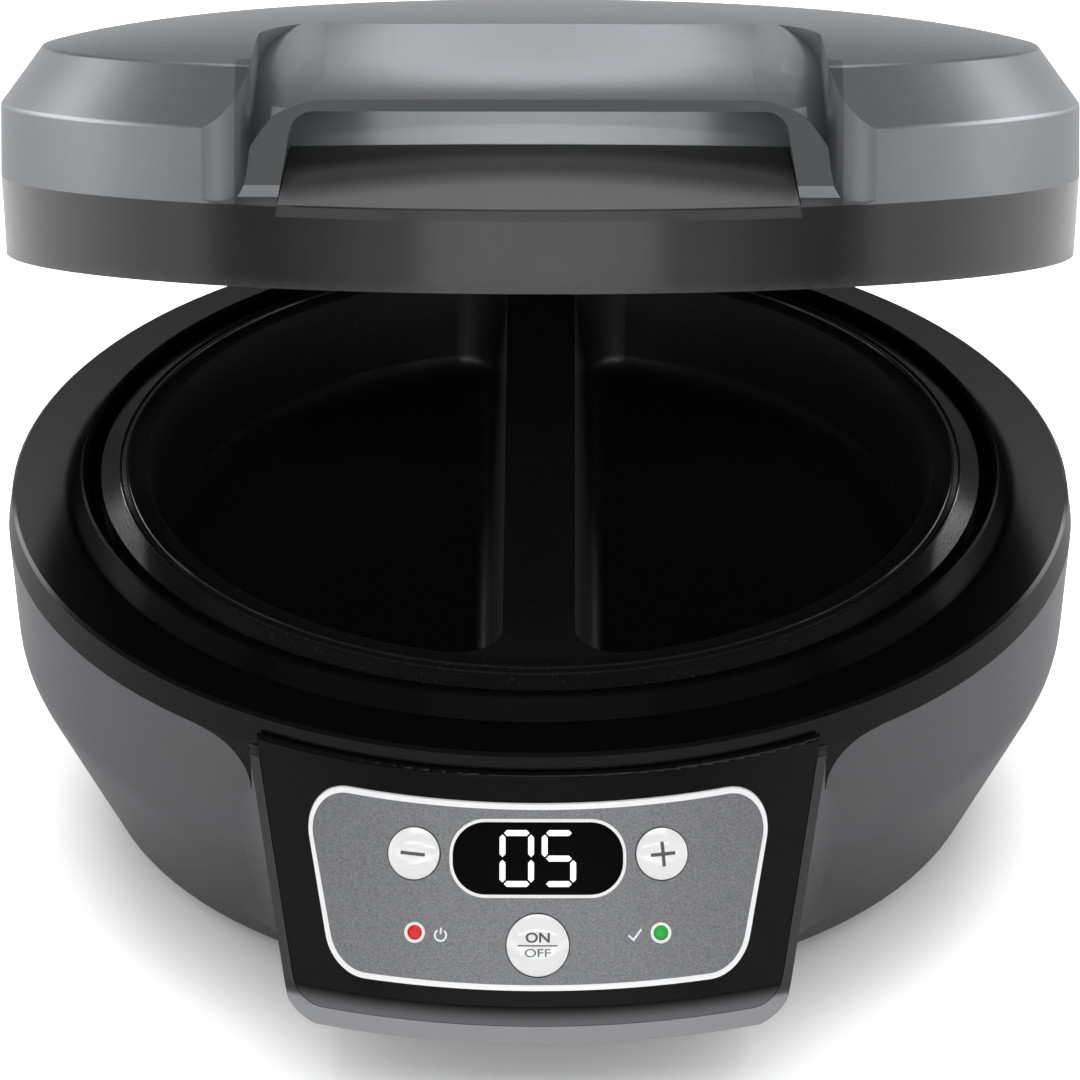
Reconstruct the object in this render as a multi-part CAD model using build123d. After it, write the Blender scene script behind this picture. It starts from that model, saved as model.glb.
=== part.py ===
"""Electric omelette maker: a round countertop cooker with a hinged lid, two half-moon pans and a console.

The frame stands on the floor: z = 0 is under the feet, on the axis of the cooking plate. +Z is up, the console
faces -Y and the hinge is at +Y. The lid is drawn closed and then swung open to its rest angle.
"""
from math import atan2, cos, radians, sin, sqrt, tan
import os

from build123d import *

os.makedirs("parts", exist_ok=True)

# ---- driving dimensions, millimetres and degrees ----
# casing of the base
body_radius = 131.0        # widest radius, at the lower edge of the rim band
rim_height = 92.0          # flat black rim that the closed lid rests over
rim_band = 8.0             # height of the dark band under the rim
rim_draft = 1.0            # how much the band narrows to its top
foot_height = 7.0
shell_wall = 2.5
waist_height = 54.0        # where the side turns inwards
waist_radius = body_radius - 2.0
bottom_radius = body_radius - 21.0
bottom_shift = 12.0        # the bottom circle lies this much further back
waist_round = 26.0

# cooking plate
plate_radius = 108.0
plate_rise = 6.3           # top of the plate above the rim
plate_wall = 3.0
pan_radius = plate_radius - 11.6
pan_depth = 25.0
pan_corner = 11.0
pan_draft = 9.0
divider_width = 17.2
bead_radii = (plate_radius - 6.8, plate_radius - 4.8)
lip_foot_radius = plate_radius + 7.4
lip_radius = plate_radius + 5.0
lip_width = 1.6
lip_rise = 5.7

# console
face_top_height = rim_height - 4.0
face_top_radius = body_radius + 1.9
face_lean = 29.06          # angle between the face and the vertical
face_low_height = 41.0     # the face's lower edge, above the bevel
console_half_top = 66.0    # half width of the black panel at face_top_height
console_taper = 0.194      # loss of half width for each mm down
console_edge = 2.4         # side wall of the casing beside the panel
chin_height = 31.0
chin_bevel = 1.4
panel_low_height = 36.6
panel_corner = 7.0
chin_corner = 12.0
panel_wall = 3.0

# controls, as x and distance down the face from its top edge
fascia_top, fascia_low = 82.4, 44.5          # heights of the fascia's edges
fascia_half_top, fascia_half_low = 55.8, 48.0
fascia_corner = 9.5
fascia_trim_width = 1.1
fascia_thickness = 0.8
display_drop, display_width, display_height = 19.2, 41.2, 18.4
digit_width, digit_height, digit_stroke, digit_pitch = 8.0, 13.2, 1.35, 9.8
side_button_x, side_button_drop, side_button_radius = 28.8, 19.6, 6.05
start_button_drop, start_button_radius = 39.4, 7.25
led_x, led_drop, led_radius, led_bezel_radius = 28.6, 37.9, 1.7, 2.45
button_clearance = 0.3
button_travel = 0.8
board_depth = 17.0
board_wall = 1.6

# lid, heights above its lower edge
lid_gap = 0.6
lid_radius = body_radius + 0.2
lid_draft = 1.2
band_height = 19.0
band_wall = 3.2
lid_wall_height = 36.5
lid_top_radius = 121.0
lid_top_height = 50.5
lid_crown = 9.5
handle_back = -85.0
handle_lip_y = -97.0
handle_lip_height = 42.4
handle_lip_wall = 2.6
handle_half = 61.0          # half width of the finger recess at its floor
handle_lean = 3.9           # how much narrower it is at its roof
recess_corner = 5.5
recess_radius = 116.7       # curve of the wall behind the fingers
handle_floor_back = 31.5
upper_plate_radius = plate_radius + 4.0
upper_pan_depth = 9.0
plate_meeting_gap = 0.8

# hinge
hinge_y = body_radius + 13.0
hinge_rise = 4.7           # axis above the rim
pin_radius = 2.5
knuckle_radius = 6.5
knuckle_half = 27.5
ear_width = 11.0
hinge_side_gap = 0.4
running_gap = 0.06
rest_angle = 23.5

# cord entry
gland_height = 26.0
gland_bore = 3.6
gland_radius = 6.0
gland_flange = 9.0

# ---- worked out from them ----
hinge_z = rim_height + hinge_rise
plate_top = rim_height + plate_rise
shell_top = rim_height - rim_band
lid_base = rim_height + lid_gap
face_slope = tan(radians(face_lean))


# ---- small makers ----
def revolved(points):
    """Ring or disc from an (r, z) outline."""
    return revolve(make_face(Polyline([(r, 0, z) for r, z in points], close=True)), Axis.Z)


def rod(x, y, z_low, z_high, radius):
    """Upright cylinder."""
    return Pos(x, y, (z_low + z_high) / 2) * Cylinder(radius, z_high - z_low)


def cross_rod(x_low, x_high, y, z, radius):
    """Cylinder along X."""
    return Pos((x_low + x_high) / 2, y, z) * Rot(0, 90, 0) * Cylinder(radius, x_high - x_low)


def block(x_low, x_high, y_low, y_high, z_low, z_high):
    """Box between two corners."""
    centre = ((x_low + x_high) / 2, (y_low + y_high) / 2, (z_low + z_high) / 2)
    return Pos(*centre) * Box(x_high - x_low, y_high - y_low, z_high - z_low)


def tapered(half_low, low, half_high, high):
    """Sketch of a shape that is level at both ends and changes width on the way up."""
    return make_face(Polyline([(-half_low, low), (half_low, low), (half_high, high), (-half_high, high)], close=True))


def front_prism(outline, near=-200.0, far=-90.0):
    """A sketch drawn as (x, z) in the front view, pushed along Y from near to far."""
    placed = Plane(origin=(0, far, 0), x_dir=(1, 0, 0), z_dir=(0, -1, 0)) * outline
    return extrude(placed, amount=far - near)


def pipe(points, radii, radius):
    """Round bar or wire along straight runs joined by arcs."""
    path = FilletPolyline(*points, radius=radii)
    section = Plane(origin=path @ 0, z_dir=path % 0) * Circle(radius)
    return sweep(section, path=path)


def save(name, *solids):
    """One STEP for each node."""
    shape = solids[0] if len(solids) == 1 else Compound(children=list(solids))
    export_step(shape, f"parts/{name}.step")


# ---- outline of the casing ----
def side_circle(z):
    """Centre y and radius of the casing's outside at a height."""
    if z >= waist_height:
        share = (z - waist_height) / (shell_top - waist_height)
        return 0.0, waist_radius + (body_radius - waist_radius) * share
    share = (waist_height - z) / (waist_height - foot_height)
    return bottom_shift * share, waist_radius + (bottom_radius - waist_radius) * share


def circle_at(z, inset):
    """The casing's round section at a height."""
    centre, radius = side_circle(z)
    return Plane(origin=(0, centre, z)) * Circle(radius - inset)


def casing_solid(inset, low=foot_height):
    """Round body of the base, from low to the shell's top."""
    upper = loft([circle_at(waist_height, inset), circle_at(shell_top, inset)])
    lower = loft([circle_at(low, inset), circle_at(waist_height, inset)])
    body = upper + lower
    if inset == 0:
        bend = body.edges().filter_by(GeomType.CIRCLE).group_by(Axis.Z)[1]
        body = fillet(bend, waist_round)
    return body


def console_half(z):
    """Half width of the casing's console at a height."""
    return console_half_top + console_edge - (face_top_height - z) * console_taper


def wing_section(z, inset):
    """Plan of the console's bulge at a height: straight sides that sweep into the round casing."""
    centre, radius = side_circle(z)
    radius -= inset + 0.3
    half = console_half(z) - inset
    sweep_radius = 4 + (shell_top - z) * 0.62 + inset
    reach = radius + sweep_radius
    arc_x = half + sweep_radius
    arc_y = centre - sqrt(reach**2 - arc_x**2)
    touch = (arc_x * radius / reach, centre + (arc_y - centre) * radius / reach)
    middle_angle = atan2(touch[1] - arc_y, touch[0] - arc_x) / 2 + radians(180) / 2
    middle = (arc_x + sweep_radius * cos(middle_angle), arc_y + sweep_radius * sin(middle_angle))
    front = -190.0
    right = [
        ThreePointArc(touch, middle, (half, arc_y)),
        Line((half, arc_y), (half, front)),
    ]
    left = [
        Line((-half, front), (-half, arc_y)),
        ThreePointArc((-half, arc_y), (-middle[0], middle[1]), (-touch[0], touch[1])),
    ]
    across = Line((half, front), (-half, front))
    back = Line((-touch[0], touch[1]), touch)
    return Plane(origin=(0, 0, z)) * make_face(Curve() + right + [across] + left + [back])


def console_profile(inset):
    """Side section of the console, turned about the axis: face, bevel, chin and sloping underside."""
    low_radius = face_top_radius + (face_top_height - face_low_height) * face_slope
    chin_radius = low_radius + chin_bevel
    over = shell_top + 4
    outline = make_face(Polyline(
        [
            (60, 0, over),
            (face_top_radius + (face_top_height - over) * face_slope, 0, over),
            (low_radius, 0, face_low_height),
            (chin_radius, 0, panel_low_height),
            (chin_radius - 0.8, 0, chin_height),
            (104, 0, 12),
            (60, 0, 12),
        ], close=True))
    if inset:
        outline = offset(outline, amount=-inset)
    return revolve(outline, Axis.Z)


def chin_outline(inset, top=120.0):
    """Front view of the console with its rounded lower corners."""
    half_low = console_half(chin_height) - inset
    half_high = console_half(top) - inset
    low = chin_height - 1 + inset
    shape = tapered(half_low, low, half_high, top)
    return fillet(shape.vertices().group_by(Axis.Y)[0], chin_corner - inset)


def console_solid(inset):
    """The whole bulge of the console."""
    levels = [shell_top, 70, 56, 42, 28, 14]
    bulge = loft([wing_section(z, inset) for z in reversed(levels)])
    bulge = bulge & console_profile(inset)
    corners = front_prism(Rectangle(400, 2 * (chin_corner + 8) + 2 * chin_height), far=-124)
    return bulge - (corners - front_prism(chin_outline(inset)))


# ---- base casing ----
def panel_outline(clearance):
    """Front view of the black console panel. A positive clearance makes it smaller."""
    low = panel_low_height + clearance
    high = face_top_height
    half_low = console_half(low) - console_edge - clearance
    half_high = console_half(high) - console_edge - clearance
    shape = tapered(half_low, low, half_high, high)
    return fillet(shape.vertices().group_by(Axis.Y)[0], panel_corner - clearance)


rim_corner = 13.0          # radius of the casing's corner where the band turns down beside the console
fit_gap = 0.2
cover_height = foot_height + 1.0
cover_wall = 2.5
lug_top = 72.0
lug_wall = 4.0
lug_circle = 120.5
lug_angles = (45, 135, 225, 315)
screw_radius = 1.5
screw_hole = 1.9
screw_head_radius = 3.2
screw_head_height = 2.2
boss_radius = 4.2
cover_boss_circle = 103.5
cover_boss_angles = (35, 145, 215, 325)
cover_boss_top = 26.0
foot_radius = 10.0
foot_spots = ((82, -36), (-82, -36), (78, 62), (-78, 62))
chin_screw_x, chin_screw_y = 45.6, -138.0
chin_post_radius = 3.6
chin_floor = chin_height - 1.0    # flat underside of the chin


def at_angle(radius, angle, centre_y=0.0):
    """Point on a circle about the axis, the angle taken from +X."""
    return radius * cos(radians(angle)), centre_y + radius * sin(radians(angle))


def rim_ear(gap):
    """Corner pieces in the front view where the band turns down into the console's edge."""
    half = console_half(shell_top)
    shapes = []
    for side in (-1, 1):
        square = Rectangle(rim_corner, rim_corner)
        square = Pos(side * (half + rim_corner / 2), shell_top - rim_corner / 2) * square
        round_cut = Pos(side * (half + rim_corner), shell_top - rim_corner) * Circle(rim_corner - gap)
        shapes.append(square - round_cut)
    return shapes


full_shell = casing_solid(0) + console_solid(0)
hollow = casing_solid(shell_wall, low=foot_height - 1) + console_solid(shell_wall)
walls = full_shell - hollow - block(-200, 200, -200, 200, shell_top, shell_top + 20)
shell = walls - front_prism(panel_outline(-fit_gap), far=-112)
ears = [front_prism(shape, far=-95) & walls & rod(0, 0, 60, shell_top, body_radius) for shape in rim_ear(0.0)]
for shape in rim_ear(fit_gap):
    shell -= front_prism(shape, far=-95) & rod(0, 0, 60, shell_top + 1, body_radius + fit_gap)
for angle in lug_angles:
    x, y = at_angle(lug_circle, angle)
    lug = rod(x, y, lug_top - lug_wall, lug_top, body_radius - lug_circle - 1.0)
    shell += (lug & full_shell) - rod(x, y, 0, 100, screw_hole)
for angle in cover_boss_angles:
    x, y = at_angle(cover_boss_circle, angle, bottom_shift)
    tower = rod(x, y, cover_height + cover_wall, cover_boss_top, boss_radius + 3)
    shell += (tower & full_shell) - rod(x, y, 0, cover_boss_top - 3, screw_radius)
for side in (-1, 1):
    shell -= rod(side * chin_screw_x, chin_screw_y, 0, 40, screw_hole)
shell -= Pos(0, 120, gland_height) * Rot(90, 0, 0) * Cylinder(gland_radius + 0.1, 40)

# ---- rim ring ----
ring_wall = 2.5
ledge_height = plate_top - 5.0
skirt_radius = body_radius - 2.6
ring_outline = [
    (skirt_radius, shell_top),
    (body_radius, shell_top),
    (body_radius - rim_draft, rim_height - 0.8),
    (body_radius - rim_draft - 0.8, rim_height),
    (lip_foot_radius, rim_height),
    (lip_radius, rim_height + lip_rise - 0.6),
    (lip_radius - 0.5, rim_height + lip_rise),
    (lip_radius - lip_width, rim_height + lip_rise),
    (lip_radius - lip_width - 0.4, ledge_height),
    (plate_radius - 6, ledge_height),
    (plate_radius - 6, ledge_height - ring_wall),
    (lip_foot_radius - 1, ledge_height - ring_wall),
    (lip_foot_radius + 1, rim_height - ring_wall),
    (skirt_radius, rim_height - ring_wall),
]
top_ring = revolved(ring_outline)
spigot = revolved([
    (skirt_radius - 2.4, shell_top - 4),
    (skirt_radius - fit_gap, shell_top - 4),
    (skirt_radius - fit_gap, shell_top),
    (skirt_radius + 1, shell_top + 1),
    (skirt_radius + 1, shell_top + 3),
    (skirt_radius - 2.4, shell_top + 1),
])
top_ring += spigot
for ear in ears:
    top_ring += ear
for angle in lug_angles:
    x, y = at_angle(lug_circle, angle)
    post = rod(x, y, lug_top, rim_height - 1, boss_radius)
    top_ring += post - rod(x, y, 0, lug_top + 10, screw_radius)
save("top_ring", top_ring)

# ---- bottom cover, feet and their screws ----
def cover_plan(z, gap):
    return circle_at(z, shell_wall + gap)


cover = extrude(cover_plan(cover_height, 0.4), amount=cover_wall)
foot_stem = 3.0
vent_length, vent_width, vent_pitch, vent_count = 34.0, 3.0, 8.0, 7
for index in range(vent_count):
    vent_y = (index - (vent_count - 1) / 2) * vent_pitch
    vent = Pos(0, bottom_shift + vent_y, cover_height) * SlotOverall(vent_length, vent_width)
    cover -= extrude(vent, amount=cover_wall)
cover_screws = []
for angle in cover_boss_angles:
    x, y = at_angle(cover_boss_circle, angle, bottom_shift)
    cover -= rod(x, y, 0, 20, screw_hole)
    cover -= rod(x, y, 0, cover_height + 0.8, screw_head_radius + 0.3)
    head = rod(x, y, cover_height + 0.8 - screw_head_height + 1.6, cover_height + 0.8, screw_head_radius)
    cover_screws.append(head + rod(x, y, cover_height + 0.8, cover_boss_top - 6, screw_radius))
feet = []
for x, y in foot_spots:
    cover -= rod(x, y, 0, 20, foot_stem + 0.05)
    pad = rod(x, y, 0, cover_height, foot_radius)
    pad = chamfer(pad.edges().group_by(Axis.Z)[0], 1.2)
    barb = rod(x, y, cover_height + cover_wall, cover_height + cover_wall + 1.5, foot_stem + 0.8)
    feet.append(pad + rod(x, y, cover_height, cover_height + cover_wall, foot_stem) + barb)
save("cover_screws", *cover_screws)
save("feet", *feet)

ring_screws = []
for angle in lug_angles:
    x, y = at_angle(lug_circle, angle)
    head = rod(x, y, lug_top - lug_wall - screw_head_height, lug_top - lug_wall, screw_head_radius)
    ring_screws.append(head + rod(x, y, lug_top - lug_wall, lug_top + 8, screw_radius))
save("ring_screws", *ring_screws)

# ---- cooking plates ----
plate_skin = 3.0
plate_slope_low = 2.1
bead_height = 0.45
bead_width = 0.9
plate_boss_y = 80.0
plate_boss_radius = 4.5
heater_half = 56.0
heater_corner = 22.0
heater_radius = 3.3
heater_leg_x = 13.0
heater_leg_corner = 8.0
heater_gap = 0.1
saddle_spots = ((-1, -0.45), (-1, 0.45), (1, -0.45), (1, 0.45), (-0.6, -1), (0.6, -1), (-0.62, 1), (0.62, 1))
saddle_length, saddle_width = 10.0, 11.0


def half_moon(radius, inset):
    """Plan of one pan, the right-hand one."""
    shape = Circle(radius) & Pos(radius, 0) * Rectangle(2 * radius - divider_width, 4 * radius)
    shape = fillet(shape.vertices(), pan_corner)
    return offset(shape, amount=-inset) if inset else shape


def both_sides(solid):
    return solid + mirror(solid, about=Plane.YZ)


def pan_hollow(level, depth, direction):
    """Drafted hollow of both pans, from the plate's face."""
    mouth = Plane(origin=(0, 0, level)) * half_moon(pan_radius, 0)
    hollow = extrude(mouth, amount=direction * depth, taper=pan_draft)
    floor = hollow.edges().group_by(Axis.Z)[0 if direction < 0 else -1]
    hollow = fillet(floor, min(5.0, depth * 0.45))
    lead_in = extrude(mouth, amount=-direction * 3)
    return both_sides(hollow + lead_in)


def pan_body(level, depth, direction):
    """Outside of both pans."""
    mouth = Plane(origin=(0, 0, level)) * offset(half_moon(pan_radius, 0), amount=plate_wall)
    return both_sides(extrude(mouth, amount=direction * (depth + plate_wall), taper=pan_draft))


def heater_pipe(z, leg_end, radius):
    """Loop of the sheathed heater, its two legs at the back."""
    h, x = heater_half, heater_leg_x
    loop = [(x, h, z), (h, h, z), (h, -h, z), (-h, -h, z), (-h, h, z), (-x, h, z)]
    route = [(x, h, leg_end), *loop, (-x, h, leg_end)]
    return pipe(route, [heater_leg_corner] + [heater_corner] * 4 + [heater_leg_corner], radius)


def bead(radius, z, direction):
    """Raised line on the plate's rim."""
    return revolved([
        (radius - bead_width / 2, z - direction * 0.3),
        (radius + bead_width / 2, z - direction * 0.3),
        (radius + bead_width / 4, z + direction * bead_height),
        (radius - bead_width / 4, z + direction * bead_height),
    ])


def saddles(level, direction, loop):
    """Cast blocks that hold the heater under the pans."""
    made = []
    for across, along in saddle_spots:
        height = 2 * heater_radius
        spot = (across * heater_half, along * heater_half, level + direction * (height / 2 - 1))
        made.append(Pos(*spot) * Box(saddle_width, saddle_length, height + 2) - loop)
    return made


lower_floor = plate_top - pan_depth - plate_wall
lower_loop_z = lower_floor - heater_radius - heater_gap
lower_outline = [
    (0, plate_top),
    (bead_radii[0] + 0.6, plate_top),
    (bead_radii[1] + 0.5, plate_top - 0.5),
    (plate_radius, plate_top - plate_slope_low),
    (plate_radius, ledge_height),
    (plate_radius - 4, ledge_height),
    (plate_radius - 4, plate_top - plate_skin),
    (0, plate_top - plate_skin),
]
lower_plate = revolved(lower_outline) + pan_body(plate_top - 0.5, pan_depth - 0.5, -1)
lower_plate += bead(bead_radii[0], plate_top, 1) + bead(bead_radii[1], plate_top - 0.5, 1)
lower_plate -= pan_hollow(plate_top, pan_depth, -1)
reflector_floor = 54.0
reflector_wall = 0.8
plate_screw_reach = 14.0
for side in (-1, 1):
    boss = rod(0, side * plate_boss_y, reflector_floor + reflector_wall, plate_top - 1, plate_boss_radius)
    lower_plate += boss - rod(0, side * plate_boss_y, 0, reflector_floor + plate_screw_reach, screw_radius)
lower_plate -= rod(0, 0, plate_top, plate_top + 5, pan_radius)
clear_loop = heater_pipe(lower_loop_z, lower_loop_z - 20, heater_radius + heater_gap)
for saddle in saddles(lower_floor, -1, clear_loop):
    lower_plate += saddle
save("lower_plate", lower_plate)

lower_heater = heater_pipe(lower_loop_z, reflector_floor - 14, heater_radius)
save("lower_heating_element", lower_heater)

# ---- reflector pan ----
reflector_radius = plate_radius - 6.2
reflector_flange = lip_foot_radius - 3.5
flange_height = ledge_height - ring_wall
reflector = revolved([
    (0, reflector_floor),
    (reflector_radius - 7, reflector_floor),
    (reflector_radius, reflector_floor + 7),
    (reflector_radius, flange_height - reflector_wall),
    (reflector_flange, flange_height - reflector_wall),
    (reflector_flange, flange_height),
    (reflector_radius - reflector_wall, flange_height),
    (reflector_radius - reflector_wall, reflector_floor + 7.4),
    (reflector_radius - 7.4, reflector_floor + reflector_wall),
    (0, reflector_floor + reflector_wall),
])
for side in (-1, 1):
    reflector -= rod(side * heater_leg_x, heater_half, 0, 80, heater_radius + 1.0)
    reflector -= rod(0, side * plate_boss_y, 0, 80, screw_hole)
save("lower_reflector", reflector)
plate_screws = []
for side in (-1, 1):
    y = side * plate_boss_y
    head = rod(0, y, reflector_floor - screw_head_height, reflector_floor, screw_head_radius)
    shank = rod(0, y, reflector_floor, reflector_floor + plate_screw_reach - 2, screw_radius)
    plate_screws.append(head + shank)
save("plate_screws", *plate_screws)

# ceramic beads where the heater's legs pass the reflector, and their terminals
bushes, tabs = [], []
for side in (-1, 1):
    x = side * heater_leg_x
    sleeve = rod(x, heater_half, reflector_floor - 5, reflector_floor + 2, heater_radius + 0.9)
    collar = rod(x, heater_half, reflector_floor - 6, reflector_floor, heater_radius + 2.4)
    bushes.append(sleeve + collar - rod(x, heater_half, 0, 100, heater_radius + 0.05))
    tab_top = reflector_floor - 14
    tabs.append(block(x - 3.15, x + 3.15, heater_half - 0.4, heater_half + 0.4, tab_top - 9, tab_top))
save("heater_bushes", *bushes)
save("heater_terminals", *tabs)

# ---- thermostat and thermal fuse under the pans ----
thermostat_x, thermostat_y, thermostat_radius = -30.0, 0.0, 8.0
thermostat_height, strap_half, strap_half_width, strap_thickness = 6.5, 16.0, 3.5, 0.8
can_low = lower_floor - thermostat_height
strap_low = can_low - strap_thickness
sensor = rod(thermostat_x, thermostat_y, can_low, lower_floor, thermostat_radius)
strap = block(thermostat_x - strap_half, thermostat_x + strap_half, -strap_half_width, strap_half_width,
              strap_low, can_low)
sensor_pins = []
for pin_x in (thermostat_x - 4, thermostat_x + 4):
    sensor_pins.append(block(pin_x - 1.5, pin_x + 1.5, -0.4, 0.4, reflector_floor + 1, strap_low))
save("thermostat", sensor + sensor_pins[0] + sensor_pins[1] + strap)
fuse_x = 30.0
fuse_body = Pos(fuse_x, 0, lower_floor - 3.0) * Rot(90, 0, 0) * Cylinder(2.0, 12)
fuse_leads = Pos(fuse_x, 0, lower_floor - 3.0) * Rot(90, 0, 0) * Cylinder(0.5, 34)
fuse_clip = block(fuse_x - 4, fuse_x + 4, -3, 3, lower_floor - 5.4, lower_floor)
fuse_clip -= block(fuse_x - 2.1, fuse_x + 2.1, -4, 4, lower_floor - 5.1, lower_floor - 0.9)
save("thermal_fuse", fuse_body + fuse_leads)
save("fuse_clip", fuse_clip)

# ---- console panel ----
def face_layer(low, high):
    """Skin that follows the console's face, between two distances outside it."""
    corners = []
    for drop, out in ((-4, low), (-4, high), (54, high), (54, low)):
        corners.append((
            face_top_radius + drop * sin(radians(face_lean)) + out * cos(radians(face_lean)),
            face_top_height - drop * cos(radians(face_lean)) + out * sin(radians(face_lean)),
        ))
    return revolved(corners)


def face_plane(x, drop):
    """Plane that touches the face at x and a distance down it, looking out."""
    z = face_top_height - drop * cos(radians(face_lean))
    radius = face_top_radius + drop * sin(radians(face_lean))
    y = -sqrt(radius**2 - x**2)
    lean = radians(face_lean)
    normal = (x / radius * cos(lean), y / radius * cos(lean), sin(lean))
    return Plane(origin=(x, y, z), x_dir=(-y / radius, x / radius, 0), z_dir=normal)


def through_face(plane, outline, depth=8.0):
    """A sketch on the face, pushed through it both ways."""
    return extrude(plane * outline, amount=depth, both=True)


def fascia_outline(inset):
    half_low, half_top = fascia_half_low - inset, fascia_half_top - inset
    low, top = fascia_low + inset, fascia_top - inset
    return fillet(tapered(half_low, low, half_top, top).vertices(), fascia_corner - inset)


def pill(inset):
    height = display_height - 2 * inset
    return RectangleRounded(display_width - 2 * inset, height, min(height / 2 - 0.05, 8.4 - inset))


display_plane = face_plane(0, display_drop)
button_spots = {
    "minus": (face_plane(-side_button_x, side_button_drop), side_button_radius),
    "plus": (face_plane(side_button_x, side_button_drop), side_button_radius),
    "start": (face_plane(0, start_button_drop), start_button_radius),
}
led_planes = {"power": face_plane(-led_x, led_drop), "ready": face_plane(led_x, led_drop)}
board_centre_drop = 27.0
board_plane = face_plane(0, board_centre_drop).offset(-board_depth)
behind_board = board_plane * (Pos(0, 0, -30) * Box(300, 300, 60))
low_radius = face_top_radius + (face_top_height - face_low_height) * face_slope
inner_low = (low_radius + chin_bevel - panel_wall, panel_low_height)
inner_kink = (low_radius - panel_wall + 0.1, face_low_height - 1.1)
inner_top_radius = body_radius + 0.25
inner_top_height = inner_kink[1] + (inner_kink[0] - inner_top_radius) / face_slope
housing = revolved([
    (inner_top_radius, face_top_height),
    (face_top_radius, face_top_height),
    (low_radius, face_low_height),
    (low_radius + chin_bevel, panel_low_height),
    inner_low,
    inner_kink,
    (inner_top_radius, inner_top_height),
])
housing = fillet(housing.edges().filter_by_position(Axis.Z, face_top_height - 0.01, face_top_height + 0.01)
                 .sort_by(lambda e: e.radius)[-1:], 1.1)
housing = housing & front_prism(panel_outline(0.0), far=-60)
post_x, post_rise = 38.0, 17.5
post_radius = 3.0
board_width, board_height = 82.0, 44.0
small_screw_radius, small_head_radius, small_head_height = 1.1, 2.4, 1.6
small_screw_hole = 1.3
posts, board_screws = [], []
for x in (-post_x, post_x):
    for y in (-post_rise, post_rise):
        spot = board_plane * Pos(x, y, 0)
        post = extrude(spot * Circle(post_radius), amount=board_depth + 2)
        posts.append((spot, post))
        under = spot * Pos(0, 0, -board_wall)
        screw = extrude(under * Circle(small_head_radius), amount=-small_head_height)
        board_screws.append(screw + extrude(under * Circle(small_screw_radius), amount=board_wall + 5))
behind_face = 60.0
inside_face = revolved([
    (behind_face, 20), (inner_low[0], 20), inner_low, inner_kink, (inner_top_radius, inner_top_height),
    (behind_face, inner_top_height + 20),
])
for spot, post in posts:
    trimmed = (post & inside_face) - extrude(spot * Circle(small_screw_radius), amount=6)
    housing += trimmed.solids().sort_by(SortBy.VOLUME)[-1]
post_low = chin_floor + shell_wall + 0.7
for side in (-1, 1):
    x = side * chin_screw_x
    post = rod(x, chin_screw_y, post_low, 80, chin_post_radius) & inside_face
    housing += post.solids().sort_by(Axis.Z)[0] - rod(x, chin_screw_y, 0, post_low + 10, screw_radius)
housing -= face_layer(-fascia_thickness + 0.3, 3) & front_prism(fascia_outline(-0.1), far=-60)
fascia = face_layer(-fascia_thickness + 0.3, 0.3) & front_prism(fascia_outline(fascia_trim_width), far=-60)
trim = face_layer(-fascia_thickness + 0.3, 0.45) & front_prism(
    fascia_outline(0) - fascia_outline(fascia_trim_width), far=-60)
rim_width = 0.75
fascia -= through_face(display_plane, pill(-0.05))
window = face_layer(-fascia_thickness + 0.3, 0.35) & through_face(display_plane, pill(rim_width))
window_rim = face_layer(-fascia_thickness + 0.3, 0.5) & through_face(display_plane, pill(0) - pill(rim_width))
housing -= through_face(display_plane, Rectangle(display_width - 9, display_height - 4))


# ---- buttons, their switches and the lamps ----
cap_rise = 1.9
cap_flat = 0.5
cap_flange = 1.1
flange_top = -(panel_wall + 0.4)
stem_radius = 2.0
stem_end = -7.5
switch_top = -9.2
plunger_radius = 1.7
plunger_end = switch_top - 1.0


def button_cap(radius):
    """Domed cap with a retaining flange and a stem, about its own axis."""
    edges = [
        Line((0, 0, stem_end), (0, 0, cap_rise)),
        Line((0, 0, cap_rise), (cap_flat, 0, cap_rise)),
        ThreePointArc((cap_flat, 0, cap_rise), (radius * 0.66, 0, cap_rise * 0.82), (radius, 0, 0.55)),
        Line((radius, 0, 0.55), (radius, 0, flange_top)),
        Line((radius, 0, flange_top), (radius + cap_flange, 0, flange_top)),
        Line((radius + cap_flange, 0, flange_top), (radius + cap_flange, 0, flange_top - 1.2)),
        Line((radius + cap_flange, 0, flange_top - 1.2), (stem_radius, 0, flange_top - 1.2)),
        Line((stem_radius, 0, flange_top - 1.2), (stem_radius, 0, stem_end)),
        Line((stem_radius, 0, stem_end), (0, 0, stem_end)),
    ]
    return revolve(make_face(Curve() + edges), Axis.Z)


switches = []
for name, (plane, radius) in button_spots.items():
    hole = through_face(plane, Circle(radius + button_clearance))
    housing -= hole
    fascia -= hole
    save(f"{name}_button", plane * button_cap(radius))
    save(f"{name}_plunger", plane * (Pos(0, 0, (stem_end + plunger_end) / 2)
                                     * Cylinder(plunger_radius, stem_end - plunger_end)))
    body = plane * (Pos(0, 0, switch_top - 15) * Box(6.2, 6.2, 30))
    well = plane * (Pos(0, 0, switch_top) * Cylinder(plunger_radius + 0.35, 2 * (button_travel + 1.6)))
    switches.append(body - well - behind_board)
save("tact_switches", *switches)

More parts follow.
